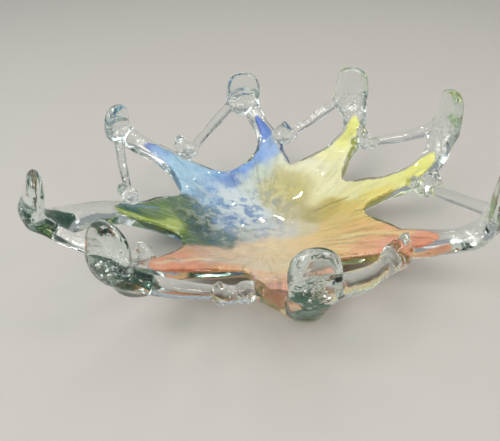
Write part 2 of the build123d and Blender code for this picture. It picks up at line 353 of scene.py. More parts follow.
def add_arm_tip(name):
    c, tan, axis, rad, w, t, h = paddle_frame(name)
    rows, side = [], []
    for x, y, hw in ARMS[name]["st"][3:]:
        rows.append((x, y, float(dish(math.hypot(x, y))) - 6.6, hw * 0.97, 6.6))
        side.append(tan)
    for i, (x, y, z, hw, ht) in enumerate(ARMS[name]["neck"]):
        rows.append((x, y, z, hw * (1.0 + 0.14 * i), ht))
        side.append(tan)
    base = c - axis * h * 0.55 + rad * 1.8
    rows.append((*base, w * 0.96, t * 1.22))
    rows.append((*c, w, t * 1.02))
    top = c + axis * (h - 0.78 * w) - rad * 1.2
    rows.append((*top, w * 0.94, t * 0.84))
    side += [tan] * 3
    rows = np.array(rows, float)
    side = np.array(side)
    both = smooth_curve(np.hstack([rows, side]), 4)
    sweep(both[:, :5], 7.0, both[:, 5:], cap=0.80)


def bridge_path(name):
    spec = BRIDGES[name]
    c, tan, axis, rad, w, t, h = paddle_frame(name)
    start = c + tan * (w * spec["a"][0]) - axis * (h * spec["a"][1])
    end = np.array(WELDS[spec["to"]]["c"], float)
    rows = []
    for i in range(9):
        u = i / 8
        p = start + (end - start) * u
        r = unit(np.array([p[0], p[1], 0]))
        lift = math.sin(math.pi * u)
        p = p + r * spec["bow"] * lift - np.array([0, 0, spec["sag"] * lift])
        rad_ = spec["r"][0] + (spec["r"][1] - spec["r"][0]) * u
        rad_ *= 1 + 0.06 * math.sin(9 * u + c[0])
        rows.append((*p, rad_, rad_ * 0.9))
    return np.array(rows)


def add_bridge(name):
    rows = bridge_path(name)
    d = np.gradient(rows[:, :3], axis=0)
    side = np.cross(d, [0, 0, 1.0])
    side /= np.linalg.norm(side, axis=1)[:, None]
    sweep(rows, 4.0, side, cap=0.9)


def blob(c, r, blend, rough=0.0, seed=0.0):
    """An ellipsoid with radii r (x, y, z) and a crumpled skin."""
    c, r = np.asarray(c, float), np.asarray(r, float)
    sl, (gx, gy, gz) = window([c], r.max() + blend + 3)
    u, v, w = (gx - c[0]) / r[0], (gy - c[1]) / r[1], (gz - c[2]) / r[2]
    k1 = np.sqrt(u * u + v * v + w * w)
    k2 = np.sqrt((u / r[0]) ** 2 + (v / r[1]) ** 2 + (w / r[2]) ** 2)
    d = k1 * (k1 - 1) / np.maximum(k2, 1e-4)
    if rough:
        d = d + rough * noise3(gx / 4.2 + seed, gy / 4.2 + seed * 2, gz / 4.2)
    FIELD[sl] = smin(FIELD[sl], d, blend)


def add_weld(name):
    """Where a drawn-out strut was touched down and nipped off: a pinched bar
    with a crumpled point standing on it."""
    spec = WELDS[name]
    source = [b for b, s in BRIDGES.items() if s["to"] == name][0]
    path = bridge_path(source)
    d = path[-1, :3] - path[-2, :3]
    d[2] = 0
    d = unit(d)
    e = np.array([-d[1], d[0], 0.0])
    c = np.array(spec["c"], float)
    long, across = spec["s"]
    seed = (c[0] * 0.37) % 7
    rng = np.random.default_rng(int(abs(c[0]) * 7 + abs(c[1])))
    blob(c, [across * 1.0, across * 1.0, across * 0.9], 2.0, 1.5, seed)
    for t, r in ((long - 0.3 * across, 0.70), (0.3 * across - long, 0.76)):
        p = c + d * t + e * rng.uniform(-1.5, 1.5)
        blob(p, across * r * rng.uniform(0.85, 1.15, 3), 1.4, 1.4,
             seed + t * 0.1)
    kx, ky, kz, kr = spec["knob"]
    knob = np.array([kx, ky, kz], float)
    lean = unit(np.array([rng.uniform(-0.3, 0.3), rng.uniform(-0.3, 0.3), 1.0]))
    for t, r in ((-0.75, 1.12), (0.05, 0.80), (0.75, 0.48)):
        blob(knob + lean * t * kr,
             kr * r * rng.uniform(0.85, 1.15, 3), 1.0, 1.3, seed + 3 + t)
    for k in range(5):
        a = 1.25 * k + rng.uniform(0, 0.7)
        p = knob + kr * np.array([math.cos(a) * 0.95, math.sin(a) * 0.95,
                                  rng.uniform(-0.7, 0.1)])
        blob(p, kr * rng.uniform(0.26, 0.44, 3), 0.8, 0.5, seed + 5 + k)


for arm in ARMS:
    add_arm_tip(arm)
for arm in ARMS:
    add_bridge(arm)
for arm in WELDS:
    add_weld(arm)
FIELD[:, :, GZ < -0.001] = np.maximum(FIELD[:, :, GZ < -0.001], 0.6)


# ------------------------------------------------------------------ surfacing
def surface_net(field):
    """Quads of the zero surface of a grid field: vertices (grid units), faces."""
    neg = field < 0
    nx, ny, nz = field.shape
    c = neg.astype(np.int8)
    s = (c[:-1, :-1, :-1] + c[1:, :-1, :-1] + c[:-1, 1:, :-1] + c[1:, 1:, :-1]
         + c[:-1, :-1, 1:] + c[1:, :-1, 1:] + c[:-1, 1:, 1:] + c[1:, 1:, 1:])
    cell = np.argwhere((s > 0) & (s < 8))
    index = np.full((nx - 1, ny - 1, nz - 1), -1, np.int64)
    index[tuple(cell.T)] = np.arange(len(cell))
    total = np.zeros((len(cell), 3))
    count = np.zeros(len(cell))
    corners = [(0, 0, 0), (1, 0, 0), (0, 1, 0), (1, 1, 0),
               (0, 0, 1), (1, 0, 1), (0, 1, 1), (1, 1, 1)]
    vals = [field[cell[:, 0] + a, cell[:, 1] + b, cell[:, 2] + e].astype(float)
            for a, b, e in corners]
    for i in range(8):
        for j in range(i + 1, 8):
            diff = np.abs(np.array(corners[i]) - np.array(corners[j]))
            if diff.sum() != 1:
                continue
            hit = (vals[i] < 0) != (vals[j] < 0)
            t = vals[i][hit] / (vals[i][hit] - vals[j][hit])
            p = np.array(corners[i]) + t[:, None] * (
                np.array(corners[j]) - np.array(corners[i]))
            total[hit] += p
            count[hit] += 1
    verts = cell + total / count[:, None]
    faces = []
    for axis in range(3):
        a = [slice(None)] * 3
        b = [slice(None)] * 3
        a[axis], b[axis] = slice(None, -1), slice(1, None)
        change = neg[tuple(a)] != neg[tuple(b)]
        p = np.argwhere(change)
        u, v = [(1, 2), (2, 0), (0, 1)][axis]
        ok = (p[:, u] > 0) & (p[:, v] > 0) & (p[:, u] < field.shape[u] - 1) \
            & (p[:, v] < field.shape[v] - 1)
        p = p[ok]
        quad = []
        for du, dv in ((-1, -1), (0, -1), (0, 0), (-1, 0)):
            q = p.copy()
            q[:, u] += du
            q[:, v] += dv
            quad.append(index[tuple(q.T)])
        quad = np.stack(quad, 1)
        flip = ~neg[tuple(p.T)]
        quad[flip] = quad[flip][:, ::-1]
        faces.append(quad)
    return verts, np.vstack(faces)


def mesh_object(name, verts, faces):
    me = bpy.data.meshes.new(name)
    me.vertices.add(len(verts))
    me.vertices.foreach_set("co", np.ascontiguousarray(verts, np.float32).ravel())
    n = faces.shape[1]
    me.loops.add(faces.size)
    me.loops.foreach_set("vertex_index", faces.astype(np.int32).ravel())
    me.polygons.add(len(faces))
    me.polygons.foreach_set("loop_start", np.arange(0, faces.size, n, dtype=np.int32))
    me.polygons.foreach_set("use_smooth", np.ones(len(faces), bool))
    me.update()
    me.validate()
    ob = bpy.data.objects.new(name, me)
    bpy.context.scene.collection.objects.link(ob)
    return ob


def relax(verts, faces, rounds, amount):
    """Even out the net a little: each vertex moves towards its neighbours."""
    n = len(verts)
    e = np.vstack([faces[:, [0, 1]], faces[:, [1, 2]], faces[:, [2, 3]],
                   faces[:, [3, 0]]])
    i = np.concatenate([e[:, 0], e[:, 1]])
    j = np.concatenate([e[:, 1], e[:, 0]])
    deg = np.bincount(i, minlength=n)[:, None]
    for k in range(rounds):
        for factor in (amount, -amount * 1.02):
            mean = np.stack([np.bincount(i, verts[j, c], n) for c in range(3)], 1)
            verts = verts + factor * (mean / deg - verts)
    return verts


verts, faces = surface_net(FIELD)
verts = relax(verts, faces, 4, 0.5)
verts = LO + verts * STEP
verts[:, 2] = np.maximum(verts[:, 2], 0.0)
body = mesh_object("glass_body", verts * MM, faces)
print("glass_body", len(verts), "vertices", verts.min(0), verts.max(0))


# ------------------------------------------------------------------ colour sheet
def colour_outline():
    """Outline of the coloured glass: the star, set in from the clear edge, with
    a pointed tongue in each arm."""
    order = ["left", "back_left", "back", "back_right", "right_back", "right",
             "front", "front_left"]
    pts = []
    for i, name in enumerate(order):
        st = np.array(ARMS[name]["st"], float)
        nk = np.array([(n[0], n[1], n[3]) for n in ARMS[name]["neck"]], float)
        rows = np.vstack([st, nk])
        reach = ARMS[name]["tongue"]
        u = np.arange(1.0, reach, 0.55)
        k = np.minimum(u.astype(int), len(rows) - 2)
        f = (u - k)[:, None]
        p = rows[k] * (1 - f) + rows[k + 1] * f
        d = rows[k + 1, :2] - rows[k, :2]
        d /= np.linalg.norm(d, axis=1)[:, None]
        side = np.stack([-d[:, 1], d[:, 0]], 1)
        near = np.clip((reach - u) / 1.1, 0, 1) ** 0.7
        w = np.maximum((p[:, 2] - COLOUR_INSET) * near, 0.8)[:, None]
        k = min(int(reach), len(rows) - 2)
        f = reach - k
        tip = rows[k, :2] * (1 - f) + rows[k + 1, :2] * f
        pts += list(p[:, :2] + side * w) + [tip] + list((p[:, :2] - side * w)[::-1])
        nxt = order[(i + 1) % len(order)]
        key = (name, nxt) if (name, nxt) in NOTCH else (nxt, name)
        ang, rad = NOTCH[key]
        a, rad = math.radians(ang), rad - 6.6
        pts.append(np.array([rad * math.cos(a), rad * math.sin(a)]))
    return soften(smooth_curve(np.array(pts), 5, closed=True), 34)


# plan position and colour of the layers of coloured glass
# the yellow-green patch at (-89, -19) is a painted highlight on the front edge of the left
# arm, not a colour of the glass
TINTS_AND_HIGHLIGHT = [
    (-146, -21, 0x6b7a74), (-132, -13, 0x46635c), (-113, -4, 0x6d7d62), (-100, -2, 0x7d8e66),
    (-87, 9, 0x6b7a60), (-114, 5, 0x76866f), (-90, 23, 0x6e7d68), (-73, 28, 0x70807a), (-89,
    -19, 0xa9ba62), (-74, 0, 0x4b5f48), (-68, -15, 0x2f4038), (-62, 8, 0x56685e), (-58, 26,
    0x7c8f92), (-76, -47, 0x5b6e50), (-60, -33, 0x55665a), (-45, -18, 0x6d7c76), (-81, 71,
    0xa9c9ea), (-82, 48, 0xa4c6e8), (-70, 61, 0xa8c6e8), (-66, 81, 0x98bfe8), (-48, 84,
    0x7aa4dc), (-29, 91, 0x6d97d8), (-37, 76, 0x5e86c6), (-9, 114, 0x7ba0d6), (-4, 136,
    0x587fc8), (-2, 159, 0x4870c4), (-10, 181, 0x6687c8), (7, 121, 0x93aede), (-93, 85,
    0xa6c6ea), (-110, 96, 0x8fb0dc), (-125, 109, 0x7486c4), (-135, 112, 0x8f9edc), (18, 133,
    0xb4c4d0), (26, 106, 0xccceb8), (-55, 57, 0x8bacd8), (-41, 57, 0xc6d4e4), (-28, 49,
    0xcdd9e4), (-47, 34, 0x9ab2d0), (-59, 40, 0xa8c2de), (-33, 22, 0xb4c2d2), (-18, 37,
    0xc2cdd6), (-43, 9, 0x9dadc0), (-16, 68, 0xc3ccc8), (-5, 88, 0xc0c8bc), (19, 68, 0xb8b082),
    (1, 69, 0xb6b28e), (34, 52, 0xb2a97e), (25, 87, 0xbab58c), (48, 70, 0xc4bf98), (18, 43,
    0xb5ae8c), (3, 49, 0xbdbba2), (58, 92, 0xdfd9b6), (70, 53, 0xdad4ac), (42, 101, 0xd2cfae),
    (89, 41, 0xd8d0a0), (109, 40, 0xdcd49c), (135, 40, 0xe0d892), (71, 112, 0xe2daa6), (89,
    120, 0xe9e08e), (100, 143, 0xf0e27a), (106, 165, 0xf2e276), (174, 70, 0xf1e27c), (162, 53,
    0xecdf80), (146, 40, 0xe6da86), (63, 27, 0xb2a464), (82, 23, 0xc2b26e), (45, 25, 0xaaa06e),
    (93, 1, 0xc8b474), (111, 25, 0xd8c67c), (70, 3, 0xc4b078), (17, 3, 0xcac6bc), (-6, 10,
    0xb9bcc0), (36, 5, 0xc6bca0), (-23, -5, 0xabaea8), (59, -12, 0xd6b684), (86, -19,
    0xd2ac70), (107, -49, 0xd8a466), (123, -67, 0xdd965c), (134, -79, 0xd97c50), (126, -89,
    0xcf6c48), (69, -40, 0xe0b688), (89, -58, 0xdca676), (109, -75, 0xda9266), (39, -24,
    0xdfba92), (20, -21, 0xdcbc9a), (-1, -34, 0xe2c0a0), (-14, -59, 0xe6bea0), (3, -86,
    0xe8c2a6), (-8, -119, 0xe4ae94), (3, -144, 0xdda08a), (-14, -147, 0xdfa48e), (-27, -38,
    0xdbbb9e), (-40, -59, 0xe0b694), (-56, -84, 0xdfa684), (-72, -96, 0xd9907a), (-86, -111,
    0xd58572), (-94, -121, 0xd68876), (-66, -68, 0xc99c7a),
]


def to_linear(c):
    c = np.asarray(c, float)
    return np.where(c <= 0.04045, c / 12.92, ((c + 0.055) / 1.055) ** 2.4)


# threads of colour drawn across the layers: path, colour, half width, strength; the first
# thread is not a colour of the glass but a painted highlight, the bright yellow-green line
# along the front edge of the left arm
THREADS_AND_HIGHLIGHT = [
    ([(-150, -27), (-137, -27), (-124, -26), (-110, -28), (-96, -32), (-83, -41)],
     0xb9c85a, 2.1, 0.75),
    ([(-146, -18), (-128, -10), (-108, -2)], 0x4a90c8, 1.2, 0.55),
    ([(-139, -40), (-124, -38), (-108, -42)], 0x24382f, 3.0, 0.65),
    ([(48, 31), (66, 34), (83, 36)], 0x5c5a3e, 0.7, 0.7),
    ([(26, 108), (22, 96), (34, 92), (48, 99)], 0xe6e2c8, 4.5, 0.7),
    ([(100, 122), (86, 98), (84, 76), (98, 62), (120, 58)], 0xece6bc, 4.0, 0.55),
    ([(8, 66), (20, 69), (32, 66)], 0xb0a85e, 17.0, 0.75),
    ([(50, 88), (58, 66), (48, 44)], 0xe2dcb4, 7.0, 0.55),
    ([(-92, -118), (-76, -98), (-52, -82), (-20, -76)], 0xf3d8bc, 3.2, 0.55),
    ([(120, -66), (95, -44), (70, -28)], 0xf3dcae, 3.0, 0.45),
    ([(118, -78), (90, -62), (64, -50)], 0xd8806a, 2.0, 0.45),
]


def thread(x, y, path):
    best = np.full(x.shape, 1e6)
    path = smooth_curve(np.array(path, float), 5)
    for p, q in zip(path[:-1], path[1:]):
        d = q - p
        t = np.clip(((x - p[0]) * d[0] + (y - p[1]) * d[1]) / (d @ d), 0, 1)
        best = np.minimum(best, np.hypot(x - p[0] - t * d[0],
                                         y - p[1] - t * d[1]))
    return best


def tint_and_highlight(x, y):
    """Blend of the colour layers at plan positions, ragged where they meet, with a painted
    highlight line laid over them along the front edge of the left arm.
    """
    z = np.zeros_like(x)
    wx = x + 7 * noise3(x / 17 + 1, y / 17 + 2, z + 0.3) \
        + 2.6 * noise3(x / 6 + 3, y / 6 + 8, z + 5.3)
    wy = y + 7 * noise3(x / 17 + 21, y / 17 + 12, z + 9.3) \
        + 2.6 * noise3(x / 6 + 13, y / 6 + 28, z + 3.3)
    total = np.zeros(x.shape + (3,))
    weight = np.zeros(x.shape)
    for px, py, c in TINTS_AND_HIGHLIGHT:
        rgb = to_linear([(c >> 16 & 255) / 255, (c >> 8 & 255) / 255,
                         (c & 255) / 255])
        w = 1 / ((wx - px) ** 2 + (wy - py) ** 2 + 25.0) ** 2.6
        total += w[..., None] * rgb
        weight += w
    col = total / weight[..., None]
    for path, c, wide, strength in THREADS_AND_HIGHLIGHT:
        rgb = to_linear([(c >> 16 & 255) / 255, (c >> 8 & 255) / 255,
                         (c & 255) / 255])
        d = thread(x + 0.25 * (wx - x), y + 0.25 * (wy - y), path)
        f = (strength * np.exp(-(d / wide) ** 2))[..., None]
        col = col * (1 - f) + rgb * f
    # the warm fields are milky, the blue ones a little less so
    grey = col.mean(-1, keepdims=True)
    warm = np.clip((col[..., :1] - col[..., 2:]) * 2.2, 0, 1)
    green = np.clip(5 * (col[..., 1:2] - np.maximum(col[..., :1], col[..., 2:]))
                    / col[..., 1:2], 0, 1) * (grey < 0.25)
    col = col + (grey - col) * (0.04 - 0.06 * warm - 0.85 * green)
    col = col * (1 + warm * np.array([0.17, 0.10, 0.02]))
    col = np.clip(col, 0.004, 1) * (1 - 0.22 * green)
    # milky glass is never a pure hue
    low = np.stack([0.16 * col[..., 2], np.maximum(0.40 * col[..., 0],
                                                   0.34 * col[..., 2]),
                    0.25 * col[..., 0]], -1)
    col = np.maximum(col, low * (1 - green)) * GLOW
    return np.where(col > 0.6, 0.6 + 0.32 * np.tanh((col - 0.6) / 0.32), col)


FIELDS = {
    "colour_green": (157, 212), "colour_blue": (77, 157),
    "colour_yellow": (7, 77), "colour_orange": (-57, 7),
    "colour_pink": (-148, -57),
}


def tongue_tip(name):
    rows = np.array([p[:2] for p in ARMS[name]["st"]]
                    + [p[:2] for p in ARMS[name]["neck"]], float)
    k = min(int(ARMS[name]["tongue"]), len(rows) - 2)
    f = ARMS[name]["tongue"] - k
    return rows[k] * (1 - f) + rows[k + 1] * f


TONGUES = [tongue_tip(a) for a in ARMS]


def colour_sheets():
    g = 1.5
    xs = np.arange(-190, 196, g)
    ys = np.arange(-190, 196, g)
    X, Y = np.meshgrid(xs, ys, indexing="ij")
    poly = colour_outline()
    sd = plan_sdf(X, Y, poly)
    gx, gy = np.gradient(sd, g)
    n = np.sqrt(gx * gx + gy * gy) + 1e-9
    snap = (np.abs(sd) < 0.55 * g)
    PX = np.where(snap, X - sd * gx / n, X)
    PY = np.where(snap, Y - sd * gy / n, Y)
    keep = sd < 0.55 * g
    quads = keep[:-1, :-1] & keep[1:, :-1] & keep[1:, 1:] & keep[:-1, 1:]
    R = np.hypot(PX, PY)
    top = dish(R) + 0.55 * noise3(PX / 31 + 5, PY / 31 + 9, PX * 0 + 2.5) \
        - COLOUR_DEPTH
    col = tint_and_highlight(PX, PY)
    ang = np.degrees(np.arctan2(Y + g / 2, X + g / 2))
    rc = np.hypot(X + g / 2, Y + g / 2)
    which = np.full(X.shape, "", dtype=object)
    for name, (a0, a1) in FIELDS.items():
        inside = ((ang - a0) % 360) < (a1 - a0)
        which[inside] = name
    which[rc < CENTRE_R] = "colour_centre"
    out = []
    for name in ["colour_centre"] + list(FIELDS):
        q = np.argwhere(quads & (which[:-1, :-1] == name))
        idx = np.full(X.shape, -1)
        corner = [(0, 0), (1, 0), (1, 1), (0, 1)]
        f = np.stack([(q[:, 0] + a) * X.shape[1] + q[:, 1] + b
                      for a, b in corner], 1)
        used, inv = np.unique(f, return_inverse=True)
        f = inv.reshape(f.shape)
        ux, uy = np.divmod(used, X.shape[1])
        vt = np.stack([PX[ux, uy], PY[ux, uy], top[ux, uy]], 1)
        vb = vt - [0, 0, 1.9]
        m = len(vt)
        e = np.vstack([f[:, [0, 1]], f[:, [1, 2]], f[:, [2, 3]], f[:, [3, 0]]])
        key = np.sort(e, 1)
        _, first, cnt = np.unique(key[:, 0] * (m + 1) + key[:, 1],
                                  return_index=True, return_counts=True)
        be = e[first[cnt == 1]]
        # walls only on the outer outline, so that the fields run into each other
        edge = sd[ux, uy]
        be = be[(edge[be[:, 0]] > -1.1 * g) & (edge[be[:, 1]] > -1.1 * g)]
        wall = np.stack([be[:, 1], be[:, 0], be[:, 0] + m, be[:, 1] + m], 1)
        faces = np.vstack([f, f[:, ::-1] + m, wall])
        ob = mesh_object(name + "_layer", np.vstack([vt, vb]) * MM, faces)
        c = np.vstack([col[ux, uy], col[ux, uy]])
        # per-vertex colour of the sheet, with the painted highlight along the left arm in it
        attr = ob.data.color_attributes.new("tint_and_highlight", "FLOAT_COLOR", "POINT")
        attr.data.foreach_set("color", np.hstack(
            [c, np.ones((len(c), 1))]).astype(np.float32).ravel())
        vx, vy = PX[ux, uy], PY[ux, uy]
        zz = np.zeros_like(vx)
        # the flecked middle, and the thinning of the colour into the clear tips
        spot = np.exp(-((vx + 34) ** 2 + (vy - 30) ** 2) / (2 * 33.0 ** 2)) \
            + 0.10 * np.exp(-((vx - 18) ** 2 + (vy - 55) ** 2) / (2 * 24.0 ** 2))
        fade = np.clip((-sd[ux, uy] + 0.4) / 2.6, 0, 1)
        for tx, ty in TONGUES:
            d = np.hypot(vx - tx, vy - ty)
            k = np.clip((d - 1) / 17, 0, 1)
            fade = fade * (0.30 + 0.70 * k)
        for key, val in (("mottle", spot), ("cover", fade),
                         ("reach", np.clip((np.hypot(vx, vy) - 35) / 55, 0, 1))):
            at = ob.data.attributes.new(key, "FLOAT", "POINT")
            at.data.foreach_set("value", np.concatenate([val, val])
                                .astype(np.float32))
        out.append((name, ob))
    return out


# ------------------------------------------------------------------ materials
def new_material(name):
    m = bpy.data.materials.new(name)
    m.use_nodes = True
    nt = m.node_tree
    nt.nodes.clear()
    return m, nt


def node(nt, kind, **values):
    n = nt.nodes.new(kind)
    for k, v in values.items():
        if k in n.inputs.keys():
            n.inputs[k].default_value = v
        else:
            setattr(n, k, v)
    return n


def glass_material(name, absorb, density, shadow, bump_height=0.35):
    m, nt = new_material(name)
    out = node(nt, "ShaderNodeOutputMaterial")
    bsdf = node(nt, "ShaderNodeBsdfPrincipled")
    bsdf.inputs["Base Color"].default_value = (0.985, 0.995, 0.99, 1)
    bsdf.inputs["Transmission Weight"].default_value = 1.0
    bsdf.inputs["Roughness"].default_value = 0.0
    bsdf.inputs["IOR"].default_value = 1.5
    coord = node(nt, "ShaderNodeTexCoord")
    # slow waves of the hot surface, and finer chill marks where it was pressed
    slow = node(nt, "ShaderNodeTexNoise")
    slow.inputs["Scale"].default_value = 55.0
    slow.inputs["Detail"].default_value = 1.5
    fine = node(nt, "ShaderNodeTexNoise")
    fine.inputs["Scale"].default_value = 330.0
    fine.inputs["Detail"].default_value = 2.0
    mark = node(nt, "ShaderNodeAttribute", attribute_name="worked")
    prod = node(nt, "ShaderNodeMath", operation="MULTIPLY")
    half = node(nt, "ShaderNodeMath", operation="MULTIPLY")
    half.inputs[1].default_value = 1.5
    add = node(nt, "ShaderNodeMath", operation="ADD")
    bump = node(nt, "ShaderNodeBump")
    bump.inputs["Strength"].default_value = 1.0
    bump.inputs["Distance"].default_value = 0.0008 * bump_height / 0.35
    link = nt.links.new
    link(coord.outputs["Object"], slow.inputs["Vector"])
    link(coord.outputs["Object"], fine.inputs["Vector"])
    link(fine.outputs["Fac"], prod.inputs[0])
    link(mark.outputs["Fac"], prod.inputs[1])
    link(prod.outputs[0], half.inputs[0])
    link(slow.outputs["Fac"], add.inputs[0])
    link(half.outputs[0], add.inputs[1])
    link(add.outputs[0], bump.inputs["Height"])
    link(bump.outputs["Normal"], bsdf.inputs["Normal"])
    clear = node(nt, "ShaderNodeBsdfTransparent")
    clear.inputs["Color"].default_value = (*shadow, 1)
    path = node(nt, "ShaderNodeLightPath")
    either = node(nt, "ShaderNodeMath", operation="MAXIMUM")
    mix = node(nt, "ShaderNodeMixShader")
    link(path.outputs["Is Shadow Ray"], either.inputs[0])
    link(path.outputs["Is Diffuse Ray"], either.inputs[1])
    link(either.outputs[0], mix.inputs["Fac"])
    link(bsdf.outputs[0], mix.inputs[1])
    link(clear.outputs[0], mix.inputs[2])
    link(mix.outputs[0], out.inputs["Surface"])
    vol = node(nt, "ShaderNodeVolumeAbsorption")
    vol.inputs["Color"].default_value = (*absorb, 1)
    vol.inputs["Density"].default_value = density
    link(vol.outputs[0], out.inputs["Volume"])
    return m


def ramp(nt, source, lo, hi, to_lo, to_hi):
    """A clamped straight-line map of one socket."""
    r = node(nt, "ShaderNodeMapRange")
    r.inputs["From Min"].default_value = lo
    r.inputs["From Max"].default_value = hi
    r.inputs["To Min"].default_value = to_lo
    r.inputs["To Max"].default_value = to_hi
    nt.links.new(source, r.inputs["Value"])
    return r.outputs["Result"]


def times(nt, a, b):
    m = node(nt, "ShaderNodeMath", operation="MULTIPLY")
    for i, v in enumerate((a, b)):
        if isinstance(v, (int, float)):
            m.inputs[i].default_value = v
        else:
            nt.links.new(v, m.inputs[i])
    return m.outputs[0]


def blend(nt, kind, fac, a, colour):
    m = node(nt, "ShaderNodeMix", data_type="RGBA", blend_type=kind)
    nt.links.new(fac, m.inputs["Factor"])
    nt.links.new(a, m.inputs[6])
    m.inputs[7].default_value = (*colour, 1)
    return m.outputs[2]


def colour_material(name, mottle, streak, fleck):
    """Coloured frit melted into a sheet: listed tints with blotches in the middle,
    drawn-out streaks along the arms and small grains, thinning into clear glass
    at its edges."""
    m, nt = new_material(name)
    link = nt.links.new
    out = node(nt, "ShaderNodeOutputMaterial")
    bsdf = node(nt, "ShaderNodeBsdfPrincipled")
    # laid colour of the sheet, with the painted highlight along the left arm in it
    tint_and_highlight_node = node(nt, "ShaderNodeAttribute", attribute_name="tint_and_highlight")
    spot = node(nt, "ShaderNodeAttribute", attribute_name="mottle")
    cover = node(nt, "ShaderNodeAttribute", attribute_name="cover")
    reach = node(nt, "ShaderNodeAttribute", attribute_name="reach")
    coord = node(nt, "ShaderNodeTexCoord")
    sep = node(nt, "ShaderNodeSeparateXYZ")
    link(coord.outputs["Object"], sep.inputs[0])
    # direction and distance from the middle, for streaks along the arms
    flat = node(nt, "ShaderNodeCombineXYZ")
    link(sep.outputs["X"], flat.inputs["X"])
    link(sep.outputs["Y"], flat.inputs["Y"])
    length = node(nt, "ShaderNodeVectorMath", operation="LENGTH")
    link(flat.outputs[0], length.inputs[0])
    norm = node(nt, "ShaderNodeVectorMath", operation="NORMALIZE")
    link(flat.outputs[0], norm.inputs[0])
    spread = node(nt, "ShaderNodeVectorMath", operation="SCALE")
    spread.inputs["Scale"].default_value = 9.0
    link(norm.outputs[0], spread.inputs[0])
    lift = node(nt, "ShaderNodeCombineXYZ")
    link(times(nt, length.outputs["Value"], 16.0), lift.inputs["Z"])
    flow = node(nt, "ShaderNodeVectorMath", operation="ADD")
    link(spread.outputs[0], flow.inputs[0])
    link(lift.outputs[0], flow.inputs[1])
    streaks = node(nt, "ShaderNodeTexNoise")
    streaks.inputs["Scale"].default_value = 1.6
    streaks.inputs["Detail"].default_value = 5.0
    streaks.inputs["Roughness"].default_value = 0.62
    streaks.inputs["Distortion"].default_value = 0.8
    link(flow.outputs[0], streaks.inputs["Vector"])
    # darker and paler streaks, only out along the arms
    down = times(nt, ramp(nt, streaks.outputs["Fac"], 0.50, 0.34, 0.0,
                          0.62 * streak), reach.outputs["Fac"])
    up = times(nt, ramp(nt, streaks.outputs["Fac"], 0.52, 0.68, 0.0,
                        0.50 * streak), reach.outputs["Fac"])
    # blotches: large ones in the flecked middle, faint ones elsewhere
    big = node(nt, "ShaderNodeTexNoise")
    big.inputs["Scale"].default_value = 105.0
    big.inputs["Detail"].default_value = 4.0
    big.inputs["Roughness"].default_value = 0.55
    big.inputs["Distortion"].default_value = 0.25
    link(coord.outputs["Object"], big.inputs["Vector"])
    small = node(nt, "ShaderNodeTexNoise")
    small.inputs["Scale"].default_value = 260.0
    small.inputs["Detail"].default_value = 5.0
    small.inputs["Roughness"].default_value = 0.7
    link(coord.outputs["Object"], small.inputs["Vector"])
    white = times(nt, ramp(nt, big.outputs["Fac"], 0.49, 0.58, 0.0, 0.75),
                  spot.outputs["Fac"])
    fleck_ = times(nt, ramp(nt, big.outputs["Fac"], 0.475, 0.41, 0.0, 0.90),
                   spot.outputs["Fac"])
    c = tint_and_highlight_node.outputs["Color"]
    c = blend(nt, "MULTIPLY", down, c, (0.34, 0.42, 0.42))
    c = blend(nt, "SCREEN", up, c, (0.34, 0.35, 0.30))
    c = blend(nt, "MIX", white, c, (0.80, 0.84, 0.84))
    c = blend(nt, "MIX", fleck_, c, (0.20, 0.33, 0.56))
    c = blend(nt, "MULTIPLY", ramp(nt, small.outputs["Fac"], 0.46, 0.34, 0.0,
                                   0.55 * mottle), c, (0.45, 0.52, 0.62))
    c = blend(nt, "SCREEN", ramp(nt, small.outputs["Fac"], 0.54, 0.68, 0.0,
                                 0.5 * mottle), c, (0.40, 0.42, 0.42))
    # grains
    vor = node(nt, "ShaderNodeTexVoronoi")
    vor.inputs["Scale"].default_value = 420.0
    link(coord.outputs["Object"], vor.inputs["Vector"])
    c = blend(nt, "MULTIPLY", ramp(nt, vor.outputs["Distance"], 0.24, 0.12, 0.0,
                                   0.40 * fleck), c, (0.50, 0.47, 0.42))
    link(c, bsdf.inputs["Base Color"])
    bsdf.inputs["Roughness"].default_value = 0.5
    bsdf.inputs["Specular IOR Level"].default_value = 0.1
    bump = node(nt, "ShaderNodeBump")
    bump.inputs["Strength"].default_value = 0.25
    bump.inputs["Distance"].default_value = 0.0006
    link(big.outputs["Fac"], bump.inputs["Height"])
    link(bump.outputs["Normal"], bsdf.inputs["Normal"])
    glow = node(nt, "ShaderNodeBsdfTranslucent")
    link(c, glow.inputs["Color"])
    lit = node(nt, "ShaderNodeMixShader")
    lit.inputs["Fac"].default_value = 0.3
    link(bsdf.outputs[0], lit.inputs[1])
    link(glow.outputs[0], lit.inputs[2])
    # thin, streaky edge of the sheet
    edge = node(nt, "ShaderNodeMath", operation="ADD")
    link(cover.outputs["Fac"], edge.inputs[0])
    link(times(nt, ramp(nt, streaks.outputs["Fac"], 0.3, 0.7, -0.45, 0.45), 1.0),
         edge.inputs[1])
    gone = ramp(nt, edge.outputs[0], 0.30, 0.62, 1.0, 0.0)
    thin = node(nt, "ShaderNodeBsdfTransparent")
    mix = node(nt, "ShaderNodeMixShader")
    link(gone, mix.inputs["Fac"])
    link(lit.outputs[0], mix.inputs[1])
    link(thin.outputs[0], mix.inputs[2])
    link(mix.outputs[0], out.inputs["Surface"])
    return m


# how strongly each field is blotched, streaked and grained
LOOK = {
    "colour_centre": (0.28, 0.70, 0.33), "colour_green": (0.55, 1.0, 0.5),
    "colour_blue": (0.45, 0.75, 0.3), "colour_yellow": (0.15, 0.35, 0.2),
    "colour_orange": (0.22, 1.0, 0.35), "colour_pink": (0.25, 0.75, 0.35),
}
for name, layer in colour_sheets():
    layer.data.materials.append(colour_material("frit_" + name[7:], *LOOK[name]))
    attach(layer, "root")
    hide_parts(name)

